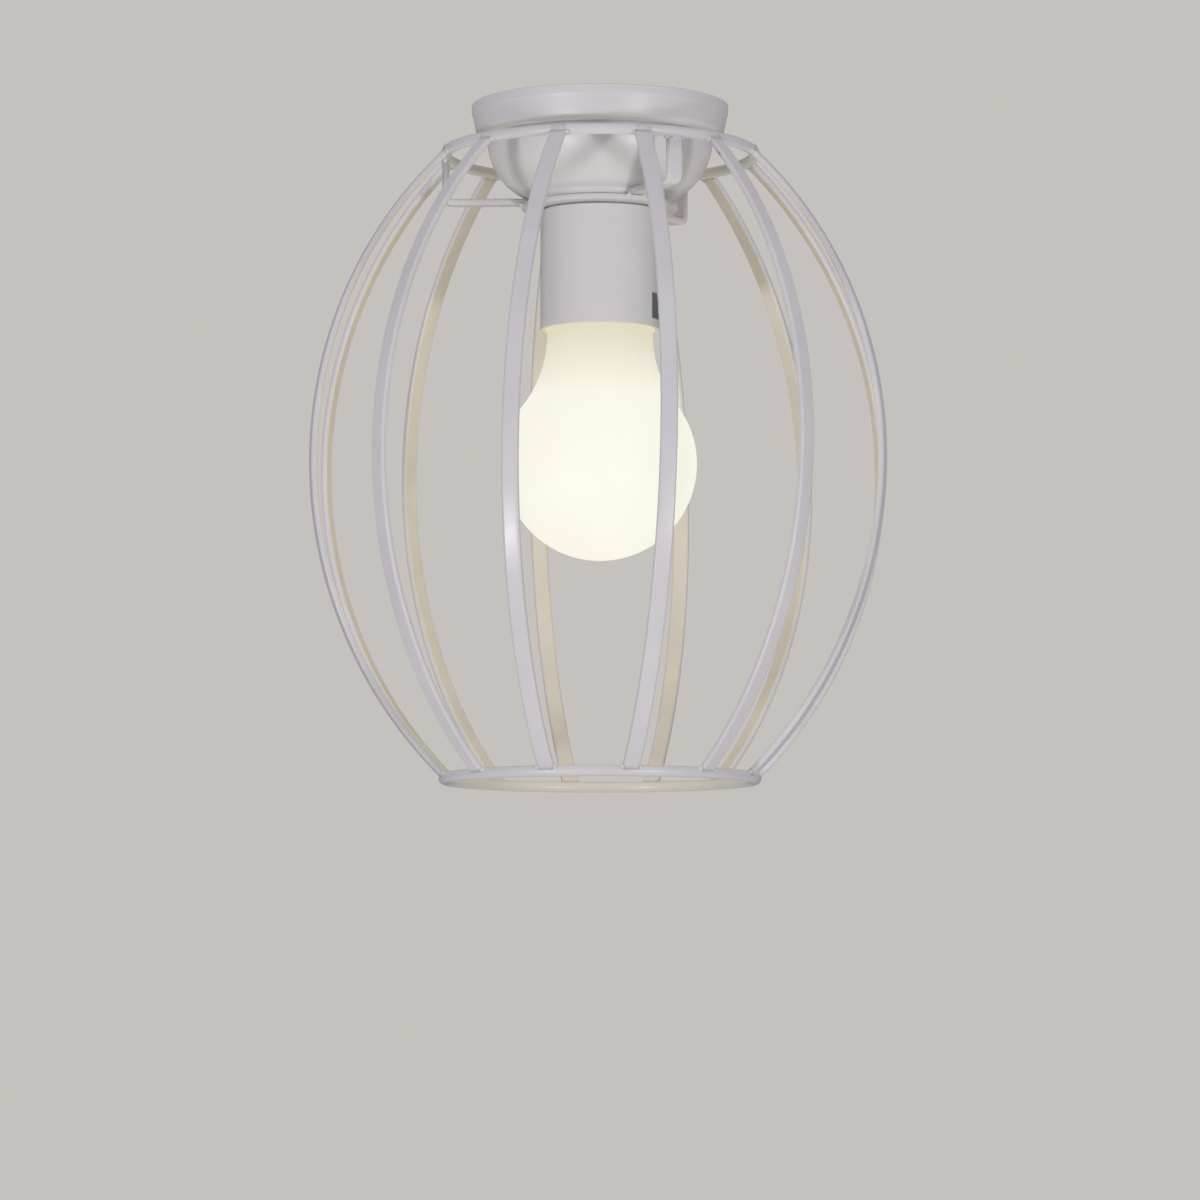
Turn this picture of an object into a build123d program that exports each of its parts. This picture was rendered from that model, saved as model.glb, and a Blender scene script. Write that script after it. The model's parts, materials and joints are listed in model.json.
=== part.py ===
"""White welded cage shade on a ceiling lampholder, with its bulb.

Millimetres, +Z up. The origin is the middle of the face that lies against the ceiling,
so everything hangs below Z = 0. The front of the lamp looks along -Y.
"""
from build123d import *
import os
from math import asin, cos, degrees, pi, sin, sqrt

# Cage: two wire rings, curved flat bars between them and three straps that hang it
belly_diameter = 182.0  # over the bars at the widest level
ring_diameter = 96.0  # to the middle of the wire, the same for both rings
cage_height = 194.2  # from the plane of the top ring to the plane of the bottom ring
wire_diameter = 3.4
wire_sides = 8  # flats round the wire's section, so that the long rings stay light
bar_width = 5.2
bar_thickness = 2.0
bar_lean = 1.1  # degrees; all bars lean the same way round, as the bottom ring is turned a little
rib_count = 12
strap_count = 3
strap_bearing = 60.0  # of the first strap, taken to the nearest gap between two bars
strap_rise = 15.8  # from the top of the fixing ring up to the plane of the top ring
strap_bend = 1.2  # radius inside the bend
strap_lap = 1.6  # how far a strap's foot lies over the fixing ring
fixing_ring_thickness = 1.5
weld_gap = 0.05  # left between two welded faces

# Lampholder: ceiling base with its threaded neck, bowl cover and skirt
base_diameter = 80.0  # against the ceiling
base_lip_diameter = 75.6  # at the lower edge
base_height = 10.5
base_plate = 3.0
base_chamfer = 1.2  # takes the edge off the lip
cover_diameter = 70.0
cover_depth = 30.0  # from the ceiling to the bottom of the bowl
cover_round = 19.0  # radius of the bowl's rounded corner
cover_wall = 2.0
cover_seat_diameter = 45.0  # shows as a short band above the fixing ring
cover_seat_height = 1.2
round_sides = 3  # flats in the bowl's rounded corner
skirt_diameter = 37.0
skirt_length = 37.7  # with its collar
skirt_collar_diameter = 34.0  # bears on the fixing ring
skirt_collar_height = 0.5
skirt_wall = 1.6
skirt_thread_length = 12.5
neck_diameter = 31.2
neck_length = 56.0  # from the ceiling to the neck's end
neck_wall = 1.4
fit_gap = 0.2  # between turned or moulded pieces that slide into each other

# Fixing to the ceiling and wiring
screw_spacing = 51.0
screw_hole_diameter = 5.0
wire_chamber_diameter = 25.0
floor_depth = 29.0  # from the ceiling to the floor that carries the terminals
floor_thickness = 4.0
terminal_width = 7.0
terminal_height = 9.0
terminal_offset = 7.0  # from the axis to the middle of a terminal
terminal_screw_diameter = 2.8
terminal_screw_length = 4.0
terminal_head_diameter = 4.4
terminal_head_height = 1.8

# Contacts
shell_sheet = 0.5
shell_length = 22.0
shell_mouth_diameter = 15.6  # the hole in the shell's floor, round the middle contact
contact_width = 4.0
contact_sheet = 0.5
contact_tail = 2.0  # of the strip past its rivet
contact_drop = 3.0  # from the floor's underside to the point where the bulb touches
contact_rivet_offset = 5.0
shell_rivet_offset = 9.6
rivet_diameter = 1.8

# Bulb
globe_diameter = 60.0
globe_neck_diameter = 32.8
globe_shoulder_round = 36.0  # radius of the hollow between neck and ball
globe_drop = 41.6  # from the skirt's rim down to the middle of the ball
globe_sides = 7  # flats from the tip to the hollow shoulder
shoulder_sides = 2
cap_diameter = 26.4
cap_thread_length = 17.5
cap_insulator_height = 3.8
cap_insulator_diameter = 22.0
cap_button_diameter = 9.0
cap_button_height = 1.2
collar_diameter = 27.6  # where the globe meets its cap
collar_height = 3.5  # from there down to the full width of the neck

# Levels, all measured down from the ceiling
seat_level = -(cover_depth + cover_seat_height)
skirt_top = seat_level - fixing_ring_thickness
skirt_bottom = skirt_top - skirt_length
top_ring_level = seat_level + strap_rise
bottom_ring_level = top_ring_level - cage_height
belly_level = (top_ring_level + bottom_ring_level) / 2
floor_underside = -(floor_depth + floor_thickness)
bulb_top = floor_underside - contact_drop

# Radii used by more than one piece
ring_radius = ring_diameter / 2
wire_radius = wire_diameter / 2
neck_radius = neck_diameter / 2
skirt_radius = skirt_diameter / 2
cover_radius = cover_diameter / 2
cover_seat_radius = cover_seat_diameter / 2

# A strap's foot ends where the bowl curves down to it, and the fixing ring reaches out under the foot
foot_lift = max(0, bar_thickness + 2 * weld_gap - cover_seat_height)
foot_end = max(
    cover_radius - cover_round + sqrt(foot_lift * (2 * cover_round - foot_lift)),
    cover_seat_radius + fit_gap,
)
fixing_ring_radius = foot_end + strap_lap


def revolved(points):
    """A solid of revolution about Z from its half section, given as (radius, level) points."""
    outline = Polyline(*[(r, 0, z) for r, z in points], close=True)
    return revolve(make_face(outline), Axis.Z)


def chords(centre, radius, start, end, count):
    """Points on an arc of a half section, so that count chords run from start to end in degrees."""
    step = (end - start) / count * pi / 180
    first = start * pi / 180
    return [
        (centre[0] + radius * cos(first + i * step), centre[1] + radius * sin(first + i * step))
        for i in range(count + 1)
    ]


def round_bar(diameter, bottom, height, at=(0, 0)):
    """An upright round bar standing on the given level."""
    return Pos(at[0], at[1], bottom) * Cylinder(
        diameter / 2, height, align=(Align.CENTER, Align.CENTER, Align.MIN)
    )


def wire_ring(level, growth=0.0):
    """A wire ring lying level; growth makes the thicker one that cuts a seat for it."""
    flat = wire_radius + growth
    section = Pos(ring_radius, 0, level) * Rot(90, 0, 0) * RegularPolygon(
        flat, wire_sides, major_radius=False, rotation=180 / wire_sides
    )
    return revolve(section, Axis.Z)


def rib():
    """One bar of the cage, bent to an arc through the wire of both rings and notched to sit on them."""
    half_height = cage_height / 2
    bulge = (belly_diameter - bar_thickness) / 2 - ring_radius
    bend_radius = (half_height**2 + bulge**2) / (2 * bulge)
    centre = ring_radius + bulge - bend_radius
    spread = asin(half_height / bend_radius)

    def on_arc(radius, angle):
        return (centre + radius * cos(angle), 0, belly_level + radius * sin(angle))

    inner = bend_radius - bar_thickness / 2
    outer = bend_radius + bar_thickness / 2
    back = ThreePointArc(on_arc(inner, -spread), on_arc(inner, 0), on_arc(inner, spread))
    top = Line(on_arc(inner, spread), on_arc(outer, spread))
    face = ThreePointArc(on_arc(outer, spread), on_arc(outer, 0), on_arc(outer, -spread))
    foot = Line(on_arc(outer, -spread), on_arc(inner, -spread))
    upright = extrude(make_face(Curve() + [back, top, face, foot]), bar_width / 2, both=True)
    bar = Pos(0, 0, belly_level) * Rot(-bar_lean, 0, 0) * Pos(0, 0, -belly_level) * upright
    for level in (top_ring_level, bottom_ring_level):
        bar -= wire_ring(level, weld_gap)
    return bar


def strap():
    """One L of flat bar: its leg hangs from the top ring and its foot lies on the fixing ring."""
    leg_outside = ring_radius + bar_thickness / 2
    leg_inside = ring_radius - bar_thickness / 2
    foot_bottom = seat_level + weld_gap
    foot_top = foot_bottom + bar_thickness
    outer_bend = strap_bend + bar_thickness
    bend = (leg_inside - strap_bend, foot_top + strap_bend)
    slant = sqrt(0.5)

    def along_bend(radius):
        return (bend[0] + radius * slant, 0, bend[1] - radius * slant)

    inside = ThreePointArc((leg_inside, 0, bend[1]), along_bend(strap_bend), (bend[0], 0, foot_top))
    outside = ThreePointArc((bend[0], 0, foot_bottom), along_bend(outer_bend), (leg_outside, 0, bend[1]))
    edge = Curve() + [
        Line((leg_outside, 0, bend[1]), (leg_outside, 0, top_ring_level)),
        Line((leg_outside, 0, top_ring_level), (leg_inside, 0, top_ring_level)),
        Line((leg_inside, 0, top_ring_level), (leg_inside, 0, bend[1])),
        inside,
        Line((bend[0], 0, foot_top), (foot_end, 0, foot_top)),
        Line((foot_end, 0, foot_top), (foot_end, 0, foot_bottom)),
        Line((foot_end, 0, foot_bottom), (bend[0], 0, foot_bottom)),
        outside,
    ]
    bar = extrude(make_face(edge), bar_width / 2, both=True)
    return bar - wire_ring(top_ring_level, weld_gap)


def fixing_ring():
    """Flat ring of the cage, clamped between the bowl cover and the skirt."""
    bore = neck_radius + fit_gap
    return revolved([
        (bore, skirt_top),
        (fixing_ring_radius, skirt_top),
        (fixing_ring_radius, seat_level),
        (bore, seat_level),
    ])


def ceiling_base():
    """Dished base and hollow neck in one moulding, with the floor that carries the contacts."""
    rim = base_diameter / 2
    lip = base_lip_diameter / 2
    chamber = wire_chamber_diameter / 2
    bore = neck_radius - neck_wall
    taper = (rim - lip) / base_height
    shape = revolved([
        (chamber, 0),
        (rim, 0),
        (lip + taper * base_chamfer, base_chamfer - base_height),
        (lip - base_chamfer, -base_height),
        (cover_radius + fit_gap, -base_height),
        (cover_radius + fit_gap, -base_plate),
        (neck_radius, -base_plate),
        (neck_radius, -neck_length),
        (bore, -neck_length),
        (bore, floor_underside),
        (0, floor_underside),
        (0, -floor_depth),
        (chamber, -floor_depth),
    ])
    for side in (-1, 1):
        shape -= round_bar(screw_hole_diameter, -base_plate, base_plate, (side * screw_spacing / 2, 0))
    for place in (-contact_rivet_offset, shell_rivet_offset):
        shape -= round_bar(rivet_diameter + fit_gap, floor_underside, floor_thickness, (place, 0))
    return shape


def bowl_cover():
    """Bowl that hides the wiring: its rim stands inside the base and its seat takes the fixing ring."""
    corner = (cover_radius - cover_round, cover_round - cover_depth)
    inner_round = cover_round - cover_wall
    hole = neck_radius + fit_gap
    shoulder = degrees(asin((cover_seat_radius - corner[0]) / cover_round))
    outside = chords(corner, cover_round, 0, shoulder - 90, round_sides)
    inside = chords(corner, inner_round, -90, 0, round_sides - 1)
    return revolved(
        [(cover_radius, -base_plate)]
        + outside
        + [(cover_seat_radius, seat_level), (hole, seat_level), (hole, cover_wall - cover_depth)]
        + inside
        + [(cover_radius - cover_wall, -base_plate)]
    )


def skirt():
    """Tube that screws on to the neck; its collar clamps the cage's fixing ring."""
    bore = skirt_radius - skirt_wall
    thread_bore = neck_radius + fit_gap
    thread_end = skirt_top - skirt_thread_length
    collar = skirt_collar_diameter / 2
    shoulder = skirt_top - skirt_collar_height
    return revolved([
        (thread_bore, skirt_top),
        (collar, skirt_top),
        (collar, shoulder),
        (skirt_radius, shoulder),
        (skirt_radius, skirt_bottom),
        (bore, skirt_bottom),
        (bore, thread_end),
        (thread_bore, thread_end),
    ])


def screw_shell():
    """Brass cup that the bulb screws into, riveted to the floor of the neck."""
    outside = neck_radius - neck_wall - fit_gap
    inside = outside - shell_sheet
    mouth = shell_mouth_diameter / 2
    cup = revolved([
        (mouth, floor_underside),
        (outside, floor_underside),
        (outside, floor_underside - shell_length),
        (inside, floor_underside - shell_length),
        (inside, floor_underside - shell_sheet),
        (mouth, floor_underside - shell_sheet),
    ])
    hole = rivet_diameter + fit_gap
    return cup - round_bar(hole, floor_underside - shell_sheet, shell_sheet, (shell_rivet_offset, 0))


def centre_contact():
    """Sprung strip under the floor that touches the end of the bulb."""
    tail = -contact_rivet_offset - contact_tail
    bend = -contact_rivet_offset + contact_tail
    tip_top = bulb_top + contact_sheet
    reach = cap_button_diameter / 2
    side = Polyline(
        (tail, 0, floor_underside),
        (bend, 0, floor_underside),
        (0, 0, tip_top),
        (reach, 0, tip_top),
        (reach, 0, bulb_top),
        (0, 0, bulb_top),
        (bend, 0, floor_underside - contact_sheet),
        (tail, 0, floor_underside - contact_sheet),
        close=True,
    )
    strip = extrude(make_face(side), contact_width / 2, both=True)
    hole = rivet_diameter + fit_gap
    place = (-contact_rivet_offset, 0)
    return strip - round_bar(hole, floor_underside - contact_sheet, contact_sheet, place)


def contact_rivets():
    """One rivet for the middle contact and one for the shell, each ending under its terminal."""
    rivets = []
    for place, sheet in ((-contact_rivet_offset, contact_sheet), (shell_rivet_offset, shell_sheet)):
        rivets.append(round_bar(rivet_diameter, floor_underside - sheet, sheet + floor_thickness, (place, 0)))
    return Compound(rivets)


def terminal(side):
    """Brass block on the floor, bored for the screw that clamps the wire."""
    centre = side * terminal_offset
    top = terminal_height - floor_depth
    block = Pos(centre, 0, top - terminal_height / 2) * Box(terminal_width, terminal_width, terminal_height)
    bore = terminal_screw_diameter + fit_gap
    return block - round_bar(bore, top - terminal_screw_length, terminal_screw_length, (centre, 0))


def terminal_screws():
    """The two clamping screws, with their heads on top of the blocks."""
    top = terminal_height - floor_depth
    screws = []
    for side in (-1, 1):
        place = (side * terminal_offset, 0)
        shank = round_bar(terminal_screw_diameter, top - terminal_screw_length, terminal_screw_length, place)
        head = round_bar(terminal_head_diameter, top, terminal_head_height, place)
        screws.append(shank + head)
    return Compound(screws)


def cap_levels():
    """Levels under the bulb's button, insulator and thread, from the top down."""
    under_button = bulb_top - cap_button_height
    under_insulator = under_button - cap_insulator_height
    return under_button, under_insulator, under_insulator - cap_thread_length


def bulb_globe():
    """Sealed opal globe: a ball, a hollow shoulder and a neck that narrows to the cap."""
    collar_level = cap_levels()[2]
    radius = globe_diameter / 2
    neck = globe_neck_diameter / 2
    ball = (0, skirt_bottom - globe_drop)
    hollow_radius = neck + globe_shoulder_round
    reach = radius + globe_shoulder_round
    hollow = (hollow_radius, ball[1] + sqrt(reach**2 - hollow_radius**2))
    lean = degrees(asin((hollow[1] - ball[1]) / reach))
    below = chords(ball, radius, -90, lean, globe_sides)
    above = chords(hollow, globe_shoulder_round, 180 + lean, 180, shoulder_sides)
    return revolved(
        below
        + above[1:]
        + [(neck, collar_level - collar_height), (collar_diameter / 2, collar_level), (0, collar_level)]
    )


def bulb_cap():
    """Screwed metal cap of the bulb."""
    return round_bar(cap_diameter, cap_levels()[2], cap_thread_length)


def cap_insulator():
    """Disc that keeps the button apart from the cap."""
    return round_bar(cap_insulator_diameter, cap_levels()[1], cap_insulator_height)


def cap_button():
    """End contact of the bulb."""
    return round_bar(cap_button_diameter, cap_levels()[0], cap_button_height)


pieces = {
    "ceiling_base": ceiling_base(),
    "bowl_cover": bowl_cover(),
    "skirt": skirt(),
    "screw_shell": screw_shell(),
    "centre_contact": centre_contact(),
    "contact_rivets": contact_rivets(),
    "terminal_active": terminal(-1),
    "terminal_neutral": terminal(1),
    "terminal_screws": terminal_screws(),
    "bulb_globe": bulb_globe(),
    "bulb_cap": bulb_cap(),
    "cap_insulator": cap_insulator(),
    "cap_button": cap_button(),
    "top_ring": wire_ring(top_ring_level),
    "bottom_ring": wire_ring(bottom_ring_level),
    "fixing_ring": fixing_ring(),
}

# The bars stand evenly round the axis, and each strap hangs midway between two of them
rib_pitch = 360 / rib_count
one_rib = rib()
for i in range(rib_count):
    pieces[f"rib_{i + 1:02d}"] = Rot(0, 0, (i + 0.5) * rib_pitch) * one_rib

one_strap = strap()
first_strap = round(strap_bearing / rib_pitch) * rib_pitch
for i in range(strap_count):
    pieces[f"strap_{i + 1}"] = Rot(0, 0, first_strap + i * 360 / strap_count) * one_strap

os.makedirs("parts", exist_ok=True)
for name, shape in pieces.items():
    export_step(shape, f"parts/{name}.step")
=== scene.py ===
"""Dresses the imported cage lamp: painted wire and bars, moulded lampholder and glowing opal bulb.

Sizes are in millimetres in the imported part's own frame; add_piece() turns them into metres.
"""
import bmesh
import bpy
import json
import random
from math import asin, atan2, cos, degrees, pi, radians, sin, sqrt, tan
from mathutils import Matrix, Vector, noise


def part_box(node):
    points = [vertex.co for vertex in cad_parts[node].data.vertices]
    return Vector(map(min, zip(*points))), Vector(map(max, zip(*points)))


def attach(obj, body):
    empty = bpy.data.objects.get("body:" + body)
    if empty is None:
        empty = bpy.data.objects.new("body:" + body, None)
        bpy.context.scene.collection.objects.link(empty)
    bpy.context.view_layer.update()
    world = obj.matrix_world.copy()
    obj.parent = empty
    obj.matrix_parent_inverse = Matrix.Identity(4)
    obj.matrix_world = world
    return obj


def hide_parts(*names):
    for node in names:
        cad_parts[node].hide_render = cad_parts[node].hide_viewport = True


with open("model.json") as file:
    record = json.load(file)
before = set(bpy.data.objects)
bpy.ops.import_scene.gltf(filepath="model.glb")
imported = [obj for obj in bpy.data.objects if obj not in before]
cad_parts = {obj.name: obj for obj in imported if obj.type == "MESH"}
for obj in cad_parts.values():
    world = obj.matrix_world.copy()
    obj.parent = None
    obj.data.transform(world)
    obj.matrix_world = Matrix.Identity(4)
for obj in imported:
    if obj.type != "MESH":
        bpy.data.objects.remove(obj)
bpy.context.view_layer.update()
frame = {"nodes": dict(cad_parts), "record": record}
nodes = frame["nodes"]
MM = 0.001


def corners(node):
    """Lowest and highest corner of a CAD node in millimetres."""
    low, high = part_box(node)
    return low / MM, high / MM


def bearing_of(node):
    """Bearing of a CAD node's middle round the upright axis."""
    low, high = corners(node)
    return atan2(low.y + high.y, low.x + high.x)


def directions(bearing):
    """Radial and sideways directions at a bearing round the upright axis."""
    return Vector((cos(bearing), sin(bearing), 0)), Vector((-sin(bearing), cos(bearing), 0))


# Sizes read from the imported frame
ring_low, ring_high = corners("top_ring")
wire_radius = (ring_high.z - ring_low.z) / 2
ring_radius = ring_high.x - wire_radius
top_level = (ring_low.z + ring_high.z) / 2
bottom_level = (corners("bottom_ring")[0].z + corners("bottom_ring")[1].z) / 2
belly_level = (top_level + bottom_level) / 2
fixing_low, fixing_high = corners("fixing_ring")
base_low, base_high = corners("ceiling_base")
cover_low, cover_high = corners("bowl_cover")
skirt_low, skirt_high = corners("skirt")
globe_low, globe_high = corners("bulb_globe")
strap_low, strap_high = corners("strap_2")
rib_names = sorted(name for name in nodes if name.startswith("rib_"))
strap_names = sorted(name for name in nodes if name.startswith("strap_"))
rib_pitch = 2 * pi / len(rib_names)
rib_bearings = [rib_pitch * (i + 0.5) for i in range(len(rib_names))]
first_way = directions(rib_bearings[0])[0]
rib_reach = max(v.co.dot(first_way) for v in nodes["rib_01"].data.vertices) / MM
base_radius = base_high.x
cover_radius = cover_high.x
skirt_radius = skirt_high.x

# Sizes of the dressed surfaces
bar_width = 5.2
bar_thickness = 2.0
bar_edge = 0.8
bar_lean = radians(1.1)  # sideways, from the belly
bar_buried = 0.9  # a bar's end stops this far from the middle of the wire
rib_steps = 96
strap_bend = 2.2  # along the middle of the bar
strap_steps = 12
pad_sunk = 0.2  # weld pads in the wire
chipped_rib = 10
chip_below = 8.0  # from the bar's end
neck_radius = 15.6
neck_bore = 14.2
sleeve_bore = 15.8
chamber_radius = 12.5
plate_thickness = 3.0  # of the base, at the ceiling
chamber_floor = (-33.0, -29.0)  # between the wire chamber and the neck
screw_offset = 25.5
screw_hole_radius = 2.5
band_inset = 0.15  # the band round the base's edge
band_level = -2.7
taper_inset = 0.5
taper_level = -3.6
lip_inset = 1.9
lip_level = -10.5
base_gap = 0.2  # between base and bowl
cover_round = 19.0
cover_depth = 30.0
cover_wall = 2.0
seat_radius = 22.5
seat_turn = 1.4  # radius of the hollow between bowl and seat
skirt_wall = 1.6
thread_length = 12.5
collar_step = (17.0, 0.5)  # radius and height of the skirt's collar
label_levels = (-67.6, -59.6)
label_bearings = (62.5, 96.5)  # degrees from the front
label_steps = 24
label_sunk = 0.08
label_proud = 0.1
globe_radius = 30.0
globe_neck_radius = 16.4
shoulder_round = 36.0
collar_radius = 13.8
collar_height = 3.5
neck_fade = (-92.0, -64.0)  # levels between the ball's glow and the neck's


# Meshes
def rounded(points, steps=6):
    """Closed outline through (x, y, fillet radius) points, each corner turned by its own fillet."""
    outline = []
    for i, (x, y, radius) in enumerate(points):
        here = Vector((x, y))
        if radius == 0:
            outline.append(here)
            continue
        back = (Vector(points[i - 1][:2]) - here).normalized()
        ahead = (Vector(points[(i + 1) % len(points)][:2]) - here).normalized()
        half = back.angle(ahead) / 2
        centre = here + (back + ahead).normalized() * radius / sin(half)
        start = here + back * radius / tan(half) - centre
        end = here + ahead * radius / tan(half) - centre
        first = atan2(start.y, start.x)
        sweep = (atan2(end.y, end.x) - first + pi) % (2 * pi) - pi
        for k in range(steps + 1):
            angle = first + sweep * k / steps
            outline.append(centre + Vector((cos(angle), sin(angle))) * radius)
    return outline


def arc(centre, radius, start, end, steps):
    """Points of an arc of a half section, angles in degrees, as unfilleted outline points."""
    angles = [radians(start + (end - start) * k / steps) for k in range(steps + 1)]
    return [(centre[0] + radius * cos(a), centre[1] + radius * sin(a), 0) for a in angles]


def lathe(outline, segments=128):
    """Vertices and faces of a closed half section turned about Z; a point on the axis is one pole."""
    vertices = []
    rows = []
    for point in outline:
        if point[0] < 1e-6:
            rows.append([len(vertices)] * segments)
            vertices.append((0, 0, point[1]))
            continue
        rows.append(list(range(len(vertices), len(vertices) + segments)))
        for k in range(segments):
            angle = 2 * pi * k / segments
            vertices.append((point[0] * cos(angle), point[0] * sin(angle), point[1]))
    faces = []
    for i, row in enumerate(rows):
        below = rows[i - 1]
        for k in range(segments):
            around = (k + 1) % segments
            loop = list(dict.fromkeys((below[k], below[around], row[around], row[k])))
            if len(loop) > 2:
                faces.append(loop)
    return vertices, faces


def sweep(path, section):
    """A bar: each path point is (middle, across, outward), and the section lies in across and outward."""
    vertices = []
    for middle, across, outward in path:
        vertices += [middle + across * p.x + outward * p.y for p in section]
    count = len(section)
    faces = []
    for i in range(len(path) - 1):
        row = i * count
        for k in range(count):
            around = (k + 1) % count
            faces.append((row + k, row + around, row + count + around, row + count + k))
    faces.append(tuple(range(count)))
    faces.append(tuple(range(len(vertices) - count, len(vertices))))
    return vertices, faces


def blob(middle, axes, seed, rings=8, segments=12):
    """A small lump of weld: a ball stretched along three axes, its surface a little uneven."""
    vertices = [middle - axes[2], middle + axes[2]]
    faces = []
    for i in range(1, rings):
        lift = -cos(pi * i / rings)
        width = sin(pi * i / rings)
        for k in range(segments):
            angle = 2 * pi * k / segments
            way = Vector((width * cos(angle), width * sin(angle), lift))
            swell = 1 + 0.22 * noise.noise(way * 1.6 + Vector((seed * 7.3, 0, 0)))
            vertices.append(middle + (axes[0] * way.x + axes[1] * way.y + axes[2] * way.z) * swell)
    for i in range(rings - 2):
        row = 2 + i * segments
        for k in range(segments):
            around = (k + 1) % segments
            faces.append((row + k, row + around, row + segments + around, row + segments + k))
    last = 2 + (rings - 2) * segments
    for k in range(segments):
        around = (k + 1) % segments
        faces.append((0, 2 + around, 2 + k))
        faces.append((1, last + k, last + around))
    return vertices, faces


def merged(shapes):
    """Several (vertices, faces) pairs as one."""
    vertices = []
    faces = []
    for some_vertices, some_faces in shapes:
        start = len(vertices)
        vertices += some_vertices
        faces += [[start + i for i in face] for face in some_faces]
    return vertices, faces


def add_piece(name, shape, material, slot, *stands_for):
    """A smooth mesh piece of the lamp that rides on its one body."""
    mesh = bpy.data.meshes.new(name)
    mesh.from_pydata([Vector(v) * MM for v in shape[0]], [], shape[1])
    work = bmesh.new()
    work.from_mesh(mesh)
    bmesh.ops.recalc_face_normals(work, faces=work.faces)
    for face in work.faces:
        face.smooth = True
    work.to_mesh(mesh)
    work.free()
    mesh.materials.append(material)
    piece = bpy.data.objects.new(name, mesh)
    bpy.context.scene.collection.objects.link(piece)
    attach(piece, "root")
    if stands_for:
        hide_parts(*stands_for)
    even = piece.modifiers.new("flat faces stay flat", "WEIGHTED_NORMAL")
    even.weight = 100
    return piece


# Materials
def new_material(name):
    """A new node material, with its tree, its shader and the object's coordinates."""
    material = bpy.data.materials.new(name)
    material.use_nodes = True
    tree = material.node_tree
    shader = tree.nodes["Principled BSDF"]
    place = tree.nodes.new("ShaderNodeTexCoord").outputs["Object"]
    return material, tree, shader, place


def noise_of(tree, place, scale, detail=3.0, roughness=0.5):
    """Soft noise between 0 and 1."""
    node = tree.nodes.new("ShaderNodeTexNoise")
    node.inputs["Scale"].default_value = scale
    node.inputs["Detail"].default_value = detail
    node.inputs["Roughness"].default_value = roughness
    tree.links.new(place, node.inputs["Vector"])
    return node.outputs["Fac"]


def spread(tree, value, low, high, to_low=0.0, to_high=1.0):
    """A value moved from one range to another, held inside it."""
    node = tree.nodes.new("ShaderNodeMapRange")
    node.inputs["From Min"].default_value = low
    node.inputs["From Max"].default_value = high
    node.inputs["To Min"].default_value = to_low
    node.inputs["To Max"].default_value = to_high
    tree.links.new(value, node.inputs["Value"])
    return node.outputs["Result"]


def mixed(tree, share, first, second):
    """Two colours mixed; each is a tuple or a socket."""
    node = tree.nodes.new("ShaderNodeMix")
    node.data_type = "RGBA"
    tree.links.new(share, node.inputs["Factor"])
    for name, colour in (("A", first), ("B", second)):
        socket = next(s for s in node.inputs if s.name == name and s.type == "RGBA")
        if isinstance(colour, tuple):
            socket.default_value = (*colour, 1.0)
        else:
            tree.links.new(colour, socket)
    return next(s for s in node.outputs if s.type == "RGBA")


def times(tree, first, second):
    """Product of two values; the second may be a number."""
    node = tree.nodes.new("ShaderNodeMath")
    node.operation = "MULTIPLY"
    tree.links.new(first, node.inputs[0])
    if isinstance(second, float):
        node.inputs[1].default_value = second
    else:
        tree.links.new(second, node.inputs[1])
    return node.outputs["Value"]


def facing_up(tree):
    """How far a surface looks up, from -1 to 1."""
    node = tree.nodes.new("ShaderNodeSeparateXYZ")
    geometry = tree.nodes.new("ShaderNodeNewGeometry")
    tree.links.new(geometry.outputs["Normal"], node.inputs["Vector"])
    return node.outputs["Z"]


def facing_axis(tree, place):
    """How far a surface looks at the upright axis of the lamp, from -1 to 1."""
    level = tree.nodes.new("ShaderNodeVectorMath")
    level.operation = "MULTIPLY"
    level.inputs[1].default_value = (-1, -1, 0)
    tree.links.new(place, level.inputs[0])
    inward = tree.nodes.new("ShaderNodeVectorMath")
    inward.operation = "NORMALIZE"
    tree.links.new(level.outputs["Vector"], inward.inputs[0])
    geometry = tree.nodes.new("ShaderNodeNewGeometry")
    match = tree.nodes.new("ShaderNodeVectorMath")
    match.operation = "DOT_PRODUCT"
    tree.links.new(inward.outputs["Vector"], match.inputs[0])
    tree.links.new(geometry.outputs["Normal"], match.inputs[1])
    return match.outputs["Value"]


def add_bump(tree, shader, height, strength, distance):
    """Fine relief of a surface."""
    node = tree.nodes.new("ShaderNodeBump")
    node.inputs["Strength"].default_value = strength
    node.inputs["Distance"].default_value = distance
    tree.links.new(height, node.inputs["Height"])
    tree.links.new(node.outputs["Normal"], shader.inputs["Normal"])


def set_gloss(tree, shader, place, scale, low, high):
    """Roughness that drifts between two values."""
    roughness = spread(tree, noise_of(tree, place, scale), 0.3, 0.7, low, high)
    tree.links.new(roughness, shader.inputs["Roughness"])


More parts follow.
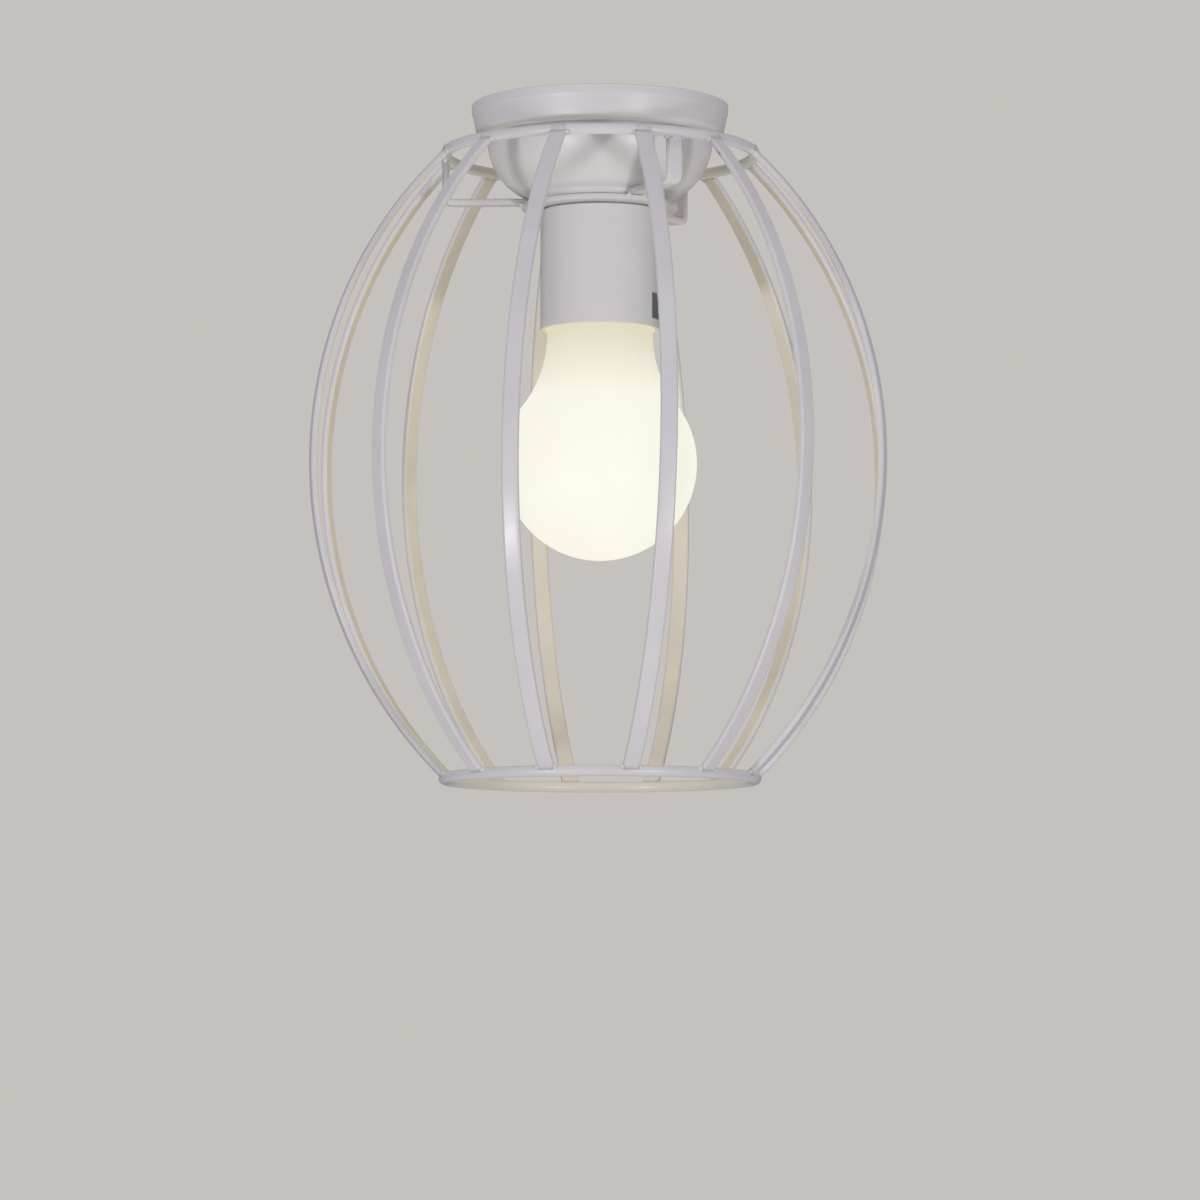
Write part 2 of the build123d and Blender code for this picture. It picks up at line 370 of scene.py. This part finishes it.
def powder_coat():
    """White powder coat: orange peel, uneven gloss, painted warm bulb light and shade on faces that look
    at the bulb, a little dust on top.
    """
    material, tree, shader, place = new_material("cage powder coat")
    drift = spread(tree, noise_of(tree, place, 40.0), 0.35, 0.65)
    fresh = mixed(tree, drift, (0.80, 0.775, 0.80), (0.75, 0.73, 0.755))
    # Faces that look at the lamp's axis are painted warmer and darker: painted warm bulb light and shade
    painted_bulb_light_and_shade = mixed(tree, drift, (0.765, 0.73, 0.65), (0.71, 0.675, 0.60))
    paint = mixed(tree, spread(tree, facing_axis(tree, place), 0.2, 0.7), fresh, painted_bulb_light_and_shade)
    patches = spread(tree, noise_of(tree, place, 60.0), 0.42, 0.68)
    dust = times(tree, times(tree, spread(tree, facing_up(tree), 0.7, 1.0), patches), 0.3)
    tree.links.new(mixed(tree, dust, paint, (0.52, 0.49, 0.45)), shader.inputs["Base Color"])
    set_gloss(tree, shader, place, 150.0, 0.26, 0.34)
    shader.inputs["Specular IOR Level"].default_value = 0.4
    add_bump(tree, shader, noise_of(tree, place, 200.0, 1.0), 0.04, 0.00004)
    return material


def moulded_plastic():
    """White moulded plastic: even, semi-gloss, faintly clouded, with dust on what looks up."""
    material, tree, shader, place = new_material("holder plastic")
    drift = spread(tree, noise_of(tree, place, 25.0), 0.35, 0.65)
    body = mixed(tree, drift, (0.82, 0.80, 0.815), (0.78, 0.76, 0.775))
    patches = spread(tree, noise_of(tree, place, 160.0, 5.0, 0.6), 0.45, 0.7)
    dust = times(tree, times(tree, spread(tree, facing_up(tree), 0.4, 1.0), patches), 0.3)
    tree.links.new(mixed(tree, dust, body, (0.55, 0.52, 0.48)), shader.inputs["Base Color"])
    set_gloss(tree, shader, place, 90.0, 0.31, 0.41)
    shader.inputs["Subsurface Weight"].default_value = 0.08
    shader.inputs["Subsurface Radius"].default_value = (0.002, 0.0018, 0.0016)
    add_bump(tree, shader, noise_of(tree, place, 150.0, 1.0), 0.03, 0.0001)
    return material


def opal_globe():
    """Lit opal: brightest round the ball, dimmer and yellower up the neck towards the cap."""
    material, tree, shader, place = new_material("opal globe")
    height = tree.nodes.new("ShaderNodeSeparateXYZ")
    tree.links.new(place, height.inputs["Vector"])
    neck = spread(tree, height.outputs["Z"], neck_fade[0] * MM, neck_fade[1] * MM)
    cloud = spread(tree, noise_of(tree, place, 30.0), 0.3, 0.7)
    ball = mixed(tree, cloud, (1.0, 0.975, 0.875), (1.0, 0.965, 0.855))
    tree.links.new(mixed(tree, neck, ball, (1.0, 0.945, 0.64)), shader.inputs["Emission Color"])
    tree.links.new(spread(tree, neck, 0.0, 1.0, 0.82, 0.52), shader.inputs["Emission Strength"])
    skin = mixed(tree, cloud, (0.22, 0.215, 0.19), (0.20, 0.195, 0.17))
    tree.links.new(skin, shader.inputs["Base Color"])
    tree.links.new(spread(tree, cloud, 0.0, 1.0, 0.5, 0.58), shader.inputs["Roughness"])
    shader.inputs["Specular IOR Level"].default_value = 0.2
    return material


def metal(name, colour, worn, rough):
    """Metal with a slightly uneven tone and fine scratches."""
    material, tree, shader, place = new_material(name)
    tone = spread(tree, noise_of(tree, place, 300.0, 4.0), 0.35, 0.7)
    tree.links.new(mixed(tree, tone, colour, worn), shader.inputs["Base Color"])
    set_gloss(tree, shader, place, 700.0, rough, rough + 0.15)
    shader.inputs["Metallic"].default_value = 1.0
    return material


def dull(name, colour, worn, rough):
    """Plain non-metal with a slightly uneven tone."""
    material, tree, shader, place = new_material(name)
    tone = spread(tree, noise_of(tree, place, 250.0, 4.0), 0.35, 0.7)
    tree.links.new(mixed(tree, tone, colour, worn), shader.inputs["Base Color"])
    set_gloss(tree, shader, place, 500.0, rough, rough + 0.12)
    return material


paint = powder_coat()
plastic = moulded_plastic()
opal = opal_globe()
brass = metal("contact brass", (0.72, 0.52, 0.22), (0.55, 0.38, 0.15), 0.25)
steel = metal("screw steel", (0.62, 0.62, 0.60), (0.45, 0.45, 0.44), 0.25)
tin = metal("cap metal", (0.70, 0.69, 0.66), (0.55, 0.54, 0.52), 0.22)
black_glass = dull("cap insulation", (0.02, 0.02, 0.022), (0.05, 0.05, 0.05), 0.2)
# Light grey for the weld pads: painted shade of the dimples where the bars meet the upper wire
painted_weld_shade = dull("painted weld shade", (0.64, 0.62, 0.64), (0.73, 0.71, 0.73), 0.35)
bare_steel = dull("chipped paint", (0.12, 0.12, 0.20), (0.22, 0.22, 0.32), 0.4)
plate_grey = dull("blank plate", (0.135, 0.14, 0.138), (0.165, 0.17, 0.167), 0.4)

# CAD pieces that stay as they are take a finish of their own slot
finishes = {
    "cage_paint": paint,
    "holder_plastic": plastic,
    "opal_globe": opal,
    "contact_brass": brass,
    "screw_steel": steel,
    "cap_metal": tin,
    "cap_insulation": black_glass,
}
for entry in frame["record"]["subparts"]:
    materials = nodes[entry["node"]].data.materials
    materials.clear()
    materials.append(finishes[entry["material_slot"]])

# Cage: round wire, and bars with softened edges that run into it
up = Vector((0, 0, 1))
bar_section = rounded([
    (-bar_width / 2, -bar_thickness / 2, bar_edge),
    (bar_width / 2, -bar_thickness / 2, bar_edge),
    (bar_width / 2, bar_thickness / 2, bar_edge),
    (-bar_width / 2, bar_thickness / 2, bar_edge),
], 4)
for name, level in (("top_ring", top_level), ("bottom_ring", bottom_level)):
    wire = [Vector((p[0], p[1])) for p in arc((ring_radius, level), wire_radius, 0, 345, 23)]
    add_piece(name + "_wire", lathe(wire, 240), paint, "cage_paint", name)

half_height = (top_level - bottom_level) / 2
bulge = rib_reach - bar_thickness / 2 - ring_radius
bend_radius = (half_height**2 + bulge**2) / (2 * bulge)
bend_centre = ring_radius + bulge - bend_radius
rib_spread = asin(half_height / bend_radius)
rib_end = rib_spread - bar_buried / bend_radius
end_shift = half_height * tan(bar_lean)  # sideways, at a bar's end
for name, bearing in zip(rib_names, rib_bearings):
    radial, sideways = directions(bearing)
    along = up * cos(bar_lean) + sideways * sin(bar_lean)
    across = sideways * cos(bar_lean) - up * sin(bar_lean)
    path = []
    for k in range(rib_steps + 1):
        angle = rib_end * (2 * k / rib_steps - 1)
        outward = radial * cos(angle) + along * sin(angle)
        path.append((radial * bend_centre + up * belly_level + outward * bend_radius, across, outward))
    add_piece(name + "_bar", sweep(path, bar_section), paint, "cage_paint", name)

foot_level = strap_low.z + bar_thickness / 2
for name in strap_names:
    radial, across = directions(bearing_of(name))
    turn = radial * (ring_radius - strap_bend) + up * (foot_level + strap_bend)
    path = [(radial * ring_radius + up * (top_level - bar_buried), across, radial)]
    for k in range(strap_steps + 1):
        angle = -pi / 2 * k / strap_steps
        outward = radial * cos(angle) + up * sin(angle)
        path.append((turn + outward * strap_bend, across, outward))
    path.append((radial * -strap_high.x + up * foot_level, across, -up))
    add_piece(name + "_bar", sweep(path, bar_section), paint, "cage_paint", name)

add_piece("fixing_ring_disc", lathe(rounded([
    (sleeve_bore, fixing_low.z, 0.2),
    (fixing_high.x, fixing_low.z, 0.4),
    (fixing_high.x, fixing_high.z, 0.4),
    (sleeve_bore, fixing_high.z, 0.2),
])), paint, "cage_paint", "fixing_ring")

# Welds: a lump on each side of a bar's end, and a flat pad on the upper wire, coloured light grey as
# painted shade of its dimple
rng = random.Random(7)
welds = []
pads = []
for bearing in rib_bearings:
    radial, across = directions(bearing)
    for level, end in ((top_level, 1), (bottom_level, -1)):
        away = radial * sin(rib_spread) - up * end * cos(rib_spread)
        outward = radial * cos(rib_spread) + up * end * sin(rib_spread)
        middle = radial * ring_radius + up * level + across * end * end_shift
        for side in (-1, 1):
            size = rng.uniform(0.75, 1.2)
            spot = middle + away * (wire_radius + 0.1) + across * side * (bar_width / 2 + 0.1)
            axes = (across * 0.95 * size, away * 0.75 * size, outward * 0.9 * size)
            welds.append(blob(spot, axes, rng.random()))
    axes = (across * rng.uniform(2.4, 2.8), up * rng.uniform(1.3, 1.5), radial * 0.45)
    spot = radial * (ring_radius + wire_radius - pad_sunk) + up * top_level + across * end_shift
    pads.append(blob(spot, axes, rng.random()))
add_piece("rib_welds", merged(welds), paint, "cage_paint")
add_piece("weld_pads", merged(pads), painted_weld_shade, "cage_paint")

welds = []
for name in strap_names:
    radial, across = directions(bearing_of(name))
    joint = radial * ring_radius + up * (top_level - wire_radius)
    for side in (-1, 1):
        size = rng.uniform(0.8, 1.2)
        axes = (across * 0.9 * size, radial * 0.9 * size, up * 0.8 * size)
        welds.append(blob(joint + across * side * bar_width / 2, axes, rng.random()))
    for side in (-1, 1):
        spot = joint + radial * side * bar_thickness / 2 - up * 0.2
        welds.append(blob(spot, (across * rng.uniform(1.6, 2.1), radial * 0.5, up * 1.1), rng.random()))
    for side in (-1, 1):
        spot = radial * (fixing_high.x - 0.3) + across * side * bar_width / 2 + up * fixing_high.z
        welds.append(blob(spot, (across * 0.6, radial * rng.uniform(0.9, 1.3), up * 0.6), rng.random()))
add_piece("strap_welds", merged(welds), paint, "cage_paint")

# Chipped paint on the side of a bar in front, near its upper end
radial, across = directions(rib_bearings[chipped_rib])
chip_angle = rib_end - chip_below / bend_radius
outward = radial * cos(chip_angle) + up * sin(chip_angle)
along = up * cos(chip_angle) - radial * sin(chip_angle)
spot = radial * bend_centre + up * belly_level + outward * (bend_radius - 0.1)
spot += across * (end_shift - bar_width / 2 + 0.1)
axes = (across * 0.25, along * 3.0, outward * 0.45)
add_piece("paint_chip", blob(spot, axes, 0.3), bare_steel, "cage_paint")

# Lampholder: base with a raised band and a rounded lip, bowl cover and skirt
base = add_piece("ceiling_base_moulding", lathe(rounded([
    (chamber_radius, 0, 0.3),
    (base_radius, 0, 0.5),
    (base_radius - band_inset, band_level, 0.8),
    (base_radius - taper_inset, taper_level, 0.8),
    (base_radius - lip_inset, lip_level, 2.8),
    (cover_radius + base_gap, lip_level, 0.3),
    (cover_radius + base_gap, -plate_thickness, 0.3),
    (neck_radius, -plate_thickness, 0.5),
    (neck_radius, base_low.z, 0.4),
    (neck_bore, base_low.z, 0.4),
    (neck_bore, chamber_floor[0], 0.3),
    (0, chamber_floor[0], 0),
    (0, chamber_floor[1], 0),
    (chamber_radius, chamber_floor[1], 0.3),
]), 192), plastic, "holder_plastic", "ceiling_base")
for side in (-1, 1):
    bpy.ops.mesh.primitive_cylinder_add(
        vertices=48,
        radius=screw_hole_radius * MM,
        depth=3 * plate_thickness * MM,
        location=(side * screw_offset * MM, 0, -plate_thickness / 2 * MM),
    )
    drill = bpy.context.object
    cut = base.modifiers.new("screw hole", "BOOLEAN")
    cut.object = drill
    cut.operation = "DIFFERENCE"
    bpy.context.view_layer.objects.active = base
    bpy.ops.object.modifier_move_to_index(modifier=cut.name, index=0)
    bpy.ops.object.modifier_apply(modifier=cut.name)
    bpy.data.objects.remove(drill)

corner = (cover_radius - cover_round, cover_round - cover_depth)
shoulder = degrees(asin((seat_radius + seat_turn - corner[0]) / cover_round)) - 90
seat_top = corner[1] - sqrt(cover_round**2 - (seat_radius - corner[0]) ** 2)
add_piece("bowl_cover_moulding", lathe(rounded(
    [(cover_radius, cover_high.z, 0.3)]
    + arc(corner, cover_round, 0, shoulder, 28)
    + [(seat_radius, seat_top, seat_turn), (seat_radius, cover_low.z, 0.3)]
    + [(sleeve_bore, cover_low.z, 0.3), (sleeve_bore, cover_wall - cover_depth, 0.1)]
    + arc(corner, cover_round - cover_wall, -90, 0, 20)
    + [(cover_radius - cover_wall, cover_high.z, 0.3)]
)), plastic, "holder_plastic", "bowl_cover")

add_piece("skirt_moulding", lathe(rounded([
    (sleeve_bore, skirt_high.z, 0.1),
    (collar_step[0], skirt_high.z, 0.1),
    (collar_step[0], skirt_high.z - collar_step[1], 0.1),
    (skirt_radius, skirt_high.z - collar_step[1], 0.4),
    (skirt_radius, skirt_low.z, 0.45),
    (skirt_radius - skirt_wall, skirt_low.z, 0.45),
    (skirt_radius - skirt_wall, skirt_high.z - thread_length, 0.2),
    (sleeve_bore, skirt_high.z - thread_length, 0.2),
])), plastic, "holder_plastic", "skirt")

# Blank grey plate on the skirt, where the lamp carries a small label
label_path = []
for k in range(label_steps + 1):
    turned = label_bearings[0] + (label_bearings[1] - label_bearings[0]) * k / label_steps
    radial = directions(radians(turned - 90))[0]
    label_path.append((radial * skirt_radius, up, radial))
label_section = rounded([
    (label_levels[0], -label_sunk, 0),
    (label_levels[1], -label_sunk, 0),
    (label_levels[1], label_proud, 0.08),
    (label_levels[0], label_proud, 0.08),
], 3)
add_piece("blank_plate", sweep(label_path, label_section), plate_grey, "holder_plastic")

# Bulb
ball = (0, globe_low.z + globe_radius)
hollow_radius = globe_neck_radius + shoulder_round
reach = globe_radius + shoulder_round
hollow = (hollow_radius, ball[1] + sqrt(reach**2 - hollow_radius**2))
lean = degrees(asin((hollow[1] - ball[1]) / reach))
globe = add_piece("bulb_globe_opal", lathe(rounded(
    [(0, globe_low.z, 0)]
    + arc(ball, globe_radius, -90, lean, 48)[1:]
    + arc(hollow, shoulder_round, 180 + lean, 180, 16)[1:]
    + [(globe_neck_radius, globe_high.z - collar_height, 2.0)]
    + [(collar_radius, globe_high.z, 0.4), (0, globe_high.z, 0)]
)), opal, "opal_globe", "bulb_globe")

# Stage, in metres: a pale floor far below, light from above as under a white ceiling,
# two soft lamps in front and a weaker one behind
floor_level = -1.75
backdrop_colour = (0.562, 0.533, 0.512, 1.0)
ambient_colour = (0.96, 0.96, 1.0, 1.0)
ambient_aim = (0, -0.25, 0.97)
light_distance = 1.5
light_size = 0.14
bpy.ops.mesh.primitive_plane_add(size=12, location=(0, 0, floor_level))
floor = bpy.context.object
floor.name = "floor"
floor.data.materials.append(dull("floor", (0.86, 0.845, 0.82), (0.83, 0.815, 0.79), 0.8))

world = bpy.data.worlds.new("surroundings")
bpy.context.scene.world = world
world.use_nodes = True
tree = world.node_tree
light_path = tree.nodes.new("ShaderNodeLightPath")
backdrop = tree.nodes.new("ShaderNodeBackground")
backdrop.inputs["Color"].default_value = backdrop_colour
ambient = tree.nodes["Background"]
ambient.inputs["Color"].default_value = ambient_colour
heading = tree.nodes.new("ShaderNodeTexCoord")
aim = tree.nodes.new("ShaderNodeVectorMath")
aim.operation = "DOT_PRODUCT"
aim.inputs[1].default_value = ambient_aim
tree.links.new(heading.outputs["Generated"], aim.inputs[0])
tree.links.new(spread(tree, aim.outputs["Value"], -0.4, 0.9, 0.05, 0.61), ambient.inputs["Strength"])
choice = tree.nodes.new("ShaderNodeMixShader")
tree.links.new(light_path.outputs["Is Camera Ray"], choice.inputs["Fac"])
tree.links.new(ambient.outputs["Background"], choice.inputs[1])
tree.links.new(backdrop.outputs["Background"], choice.inputs[2])
tree.links.new(choice.outputs["Shader"], tree.nodes["World Output"].inputs["Surface"])


def soft_light(name, bearing, rise, power, colour):
    """A square area light on the middle of the lamp; angles in degrees, bearing 0 in front."""
    level = cos(radians(rise))
    way = Vector((sin(radians(bearing)) * level, -cos(radians(bearing)) * level, sin(radians(rise))))
    data = bpy.data.lights.new(name, "AREA")
    data.energy = power
    data.size = light_size
    data.color = colour
    lamp = bpy.data.objects.new(name, data)
    lamp.location = light_distance * way + Vector((0, 0, belly_level * MM))
    lamp.visible_camera = False
    lamp.rotation_euler = way.to_track_quat("Z", "Y").to_euler()
    bpy.context.scene.collection.objects.link(lamp)
    return lamp


soft_light("left light", -35, -18, 4.95, (0.97, 0.97, 1.0))
soft_light("right light", 37, -14.5, 4.65, (1.0, 0.98, 0.98))
back_light = soft_light("back light", 180, 15, 3.0, (1.0, 0.98, 0.97))
back_light.visible_glossy = False  # no glints on edges

# The bulb's own light passes its globe and warms the inner faces of the bars
globe.visible_shadow = False
glow = bpy.data.lights.new("bulb light", "POINT")
glow.energy = 0.033
glow.color = (1.0, 0.75, 0.0)
glow.shadow_soft_size = 0.8 * globe_radius * MM
lamp = bpy.data.objects.new("bulb light", glow)
lamp.location = (0, 0, ball[1] * MM)
bpy.context.scene.collection.objects.link(lamp)

# Camera at the photograph's viewing angle
view_distance = 1.649
view_bearing = radians(2.0)
view_height = -0.2994
view_pitch = radians(5.03)
camera_data = bpy.data.cameras.new("camera")
camera_data.sensor_width = 36.0
camera_data.lens = 160.8
camera = bpy.data.objects.new("camera", camera_data)
camera.location = (view_distance * sin(view_bearing), -view_distance * cos(view_bearing), view_height)
camera.rotation_euler = (pi / 2 + view_pitch, 0, view_bearing)
bpy.context.scene.collection.objects.link(camera)
bpy.context.scene.camera = camera
bpy.context.scene.view_settings.view_transform = "Standard"
